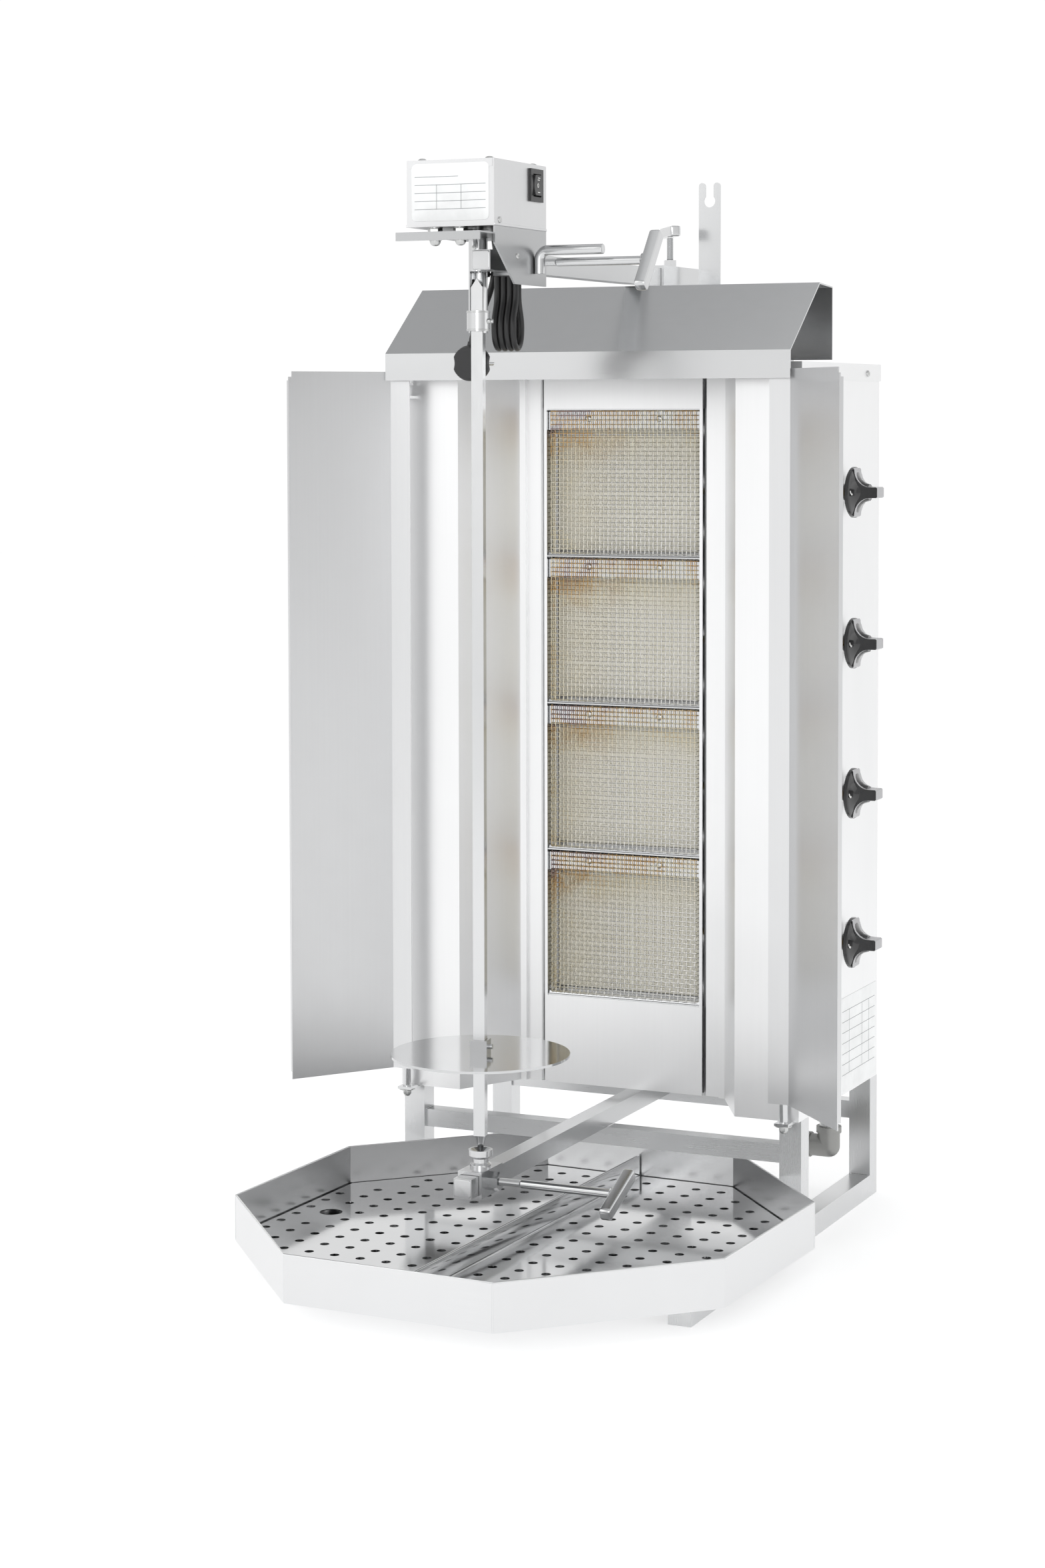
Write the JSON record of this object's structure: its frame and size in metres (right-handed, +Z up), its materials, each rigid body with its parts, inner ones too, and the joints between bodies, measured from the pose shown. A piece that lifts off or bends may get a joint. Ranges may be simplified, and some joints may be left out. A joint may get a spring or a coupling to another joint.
{
  "type": "vertical rotisserie broiler",
  "caption": "Standing gas broiler: a column of ceramic burners in a steel niche with swinging wings, a motor-driven vertical spit on sliding arms, and an octagonal drip tray.",
  "frame": {"origin": "floor level, on the centre plane, at the front face of the two front legs", "axes": "+X towards the knobs (the cook's right), +Y towards the back, +Z up"},
  "size_m": [0.6419, 0.7624, 1.166],
  "materials": {
    "frame_steel": "satin welded tube",
    "panel_steel": "grained sheet",
    "bright_steel": "fine satin, nearly mirror",
    "tray_steel": "bright annealed sheet",
    "drive_chrome": "polished",
    "plaque_ceramic": "matt, pierced",
    "guard_wire": "heat tinted wire",
    "brass_fittings": "turned",
    "iron_fitting": "rough cast, zinc grey",
    "knob_plastic": "gloss moulded",
    "switch_plastic": "moulded",
    "motor_paint": "satin",
    "cord_rubber": "satin",
    "plug_rubber": "moulded"
  },
  "bodies": {
    "frame": {"side_frame_left": "frame_steel", "side_frame_right": "frame_steel", "cross_ties": "frame_steel", "lower_arm": "frame_steel", "back_panel": "panel_steel", "side_panel_left": "panel_steel", "side_panel_right": "panel_steel", "top_cover": "panel_steel", "base_pan": "panel_steel", "niche_left": "panel_steel", "niche_right": "panel_steel", "burner_plate": "panel_steel", "hood": "panel_steel", "hanger_plate": "bright_steel", "burner_housings": "bright_steel", "plaques_1": "plaque_ceramic", "plaques_2": "plaque_ceramic", "plaques_3": "plaque_ceramic", "plaques_4": "plaque_ceramic", "mesh_1": "guard_wire", "mesh_2": "guard_wire", "mesh_3": "guard_wire", "mesh_4": "guard_wire", "gas_rail": "brass_fittings", "supply_elbow": "iron_fitting", "gas_valves": "brass_fittings", "wing_hinges": "bright_steel", "arm_socket": "bright_steel", "upper_arm": "bright_steel"},
    "motor_carriage": {"motor_bracket": "panel_steel", "pull_handle": "bright_steel", "motor_case": "panel_steel", "gearmotor": "motor_paint", "switch_bezel": "switch_plastic", "power_cord": "cord_rubber", "cord_hank": "cord_rubber", "plug": "plug_rubber"},
    "rotor": {"drive_tube": "drive_chrome", "spit": "bright_steel", "meat_plate": "tray_steel"},
    "collar": {"lock_collar": "drive_chrome"},
    "rocker": {"rocker": "switch_plastic"},
    "upper_screw": {"upper_clamp": "bright_steel"},
    "lower_carriage": {"lower_carriage": "bright_steel", "cup_bearing": "bright_steel"},
    "lower_screw": {"lower_clamp": "bright_steel"},
    "socket_screw": {"socket_clamp": "bright_steel"},
    "wing_left": {"wing_left": "panel_steel"},
    "wing_right": {"wing_right": "panel_steel"},
    "tray": {"drip_tray": "tray_steel"},
    "grid_left": {"grid_left": "tray_steel"},
    "grid_right": {"grid_right": "tray_steel"},
    "stem_1": {"stem_1": "brass_fittings"},
    "knob_1": {"knob_1": "knob_plastic"},
    "stem_2": {"stem_2": "brass_fittings"},
    "knob_2": {"knob_2": "knob_plastic"},
    "stem_3": {"stem_3": "brass_fittings"},
    "knob_3": {"knob_3": "knob_plastic"},
    "stem_4": {"stem_4": "brass_fittings"},
    "knob_4": {"knob_4": "knob_plastic"}
  },
  "joints": [
    {"name": "carriage_slide", "type": "slide", "parent": "frame", "child": "motor_carriage", "axis": [0, 1, 0], "range_m": [-0.03, 0.1]},
    {"name": "lower_slide", "type": "slide", "parent": "frame", "child": "lower_carriage", "axis": [0, 1, 0], "range_m": [-0.03, 0.1]},
    {"name": "spit_spin", "type": "hinge", "parent": "motor_carriage", "child": "rotor", "pos_m": [0, -0.303, 0.6], "axis": [0, 0, 1], "continuous": true},
    {"name": "collar_lift", "type": "slide", "parent": "rotor", "child": "collar", "axis": [0, 0, 1], "range_m": [0, 0.038]},
    {"name": "rocker_tilt", "type": "hinge", "parent": "motor_carriage", "child": "rocker", "pos_m": [0.046, -0.269, 1.133], "axis": [0, 1, 0], "range_deg": [-9, 9]},
    {"name": "upper_screw_turn", "type": "hinge", "parent": "motor_carriage", "child": "upper_screw", "pos_m": [0.1, -0.257, 1.056], "axis": [1, 0, 0], "continuous": true},
    {"name": "lower_screw_turn", "type": "hinge", "parent": "lower_carriage", "child": "lower_screw", "pos_m": [0.1, -0.303, 0.119], "axis": [1, 0, 0], "continuous": true},
    {"name": "socket_screw_turn", "type": "hinge", "parent": "frame", "child": "socket_screw", "pos_m": [0.021, 0.164, 1.09], "axis": [0, 0, 1], "continuous": true},
    {"name": "wing_left_swing", "type": "hinge", "parent": "frame", "child": "wing_left", "pos_m": [-0.227, -0.02, 0.55], "axis": [0, 0, 1], "range_deg": [-45, 0]},
    {"name": "wing_right_swing", "type": "hinge", "parent": "frame", "child": "wing_right", "pos_m": [0.227, -0.02, 0.55], "axis": [0, 0, 1], "range_deg": [0, 40]},
    {"name": "tray_slide", "type": "slide", "parent": "frame", "child": "tray", "axis": [0, -1, 0], "range_m": [0, 0.32]},
    {"name": "grid_left_lift", "type": "slide", "parent": "tray", "child": "grid_left", "axis": [0, 0, 1], "range_m": [0, 0.025]},
    {"name": "grid_right_lift", "type": "slide", "parent": "tray", "child": "grid_right", "axis": [0, 0, 1], "range_m": [0, 0.025]},
    {"name": "tap_1_turn", "type": "hinge", "parent": "frame", "child": "stem_1", "pos_m": [0.23, 0.135, 0.815], "axis": [1, 0, 0], "range_deg": [0, 210]},
    {"name": "tap_1_push", "type": "slide", "parent": "stem_1", "child": "knob_1", "axis": [-1, 0, 0], "range_m": [0, 0.003], "stiffness_N_per_m": 500, "springref_m": -0.002},
    {"name": "tap_2_turn", "type": "hinge", "parent": "frame", "child": "stem_2", "pos_m": [0.23, 0.135, 0.6475], "axis": [1, 0, 0], "range_deg": [0, 210]},
    {"name": "tap_2_push", "type": "slide", "parent": "stem_2", "child": "knob_2", "axis": [-1, 0, 0], "range_m": [0, 0.003], "stiffness_N_per_m": 500, "springref_m": -0.002},
    {"name": "tap_3_turn", "type": "hinge", "parent": "frame", "child": "stem_3", "pos_m": [0.23, 0.135, 0.48], "axis": [1, 0, 0], "range_deg": [0, 210]},
    {"name": "tap_3_push", "type": "slide", "parent": "stem_3", "child": "knob_3", "axis": [-1, 0, 0], "range_m": [0, 0.003], "stiffness_N_per_m": 500, "springref_m": -0.002},
    {"name": "tap_4_turn", "type": "hinge", "parent": "frame", "child": "stem_4", "pos_m": [0.23, 0.135, 0.3125], "axis": [1, 0, 0], "range_deg": [0, 210]},
    {"name": "tap_4_push", "type": "slide", "parent": "stem_4", "child": "knob_4", "axis": [-1, 0, 0], "range_m": [0, 0.003], "stiffness_N_per_m": 500, "springref_m": -0.002}
  ],
  "couplings": [
    {"joint": "lower_slide", "follows": "carriage_slide", "ratio": 1}
  ]
}
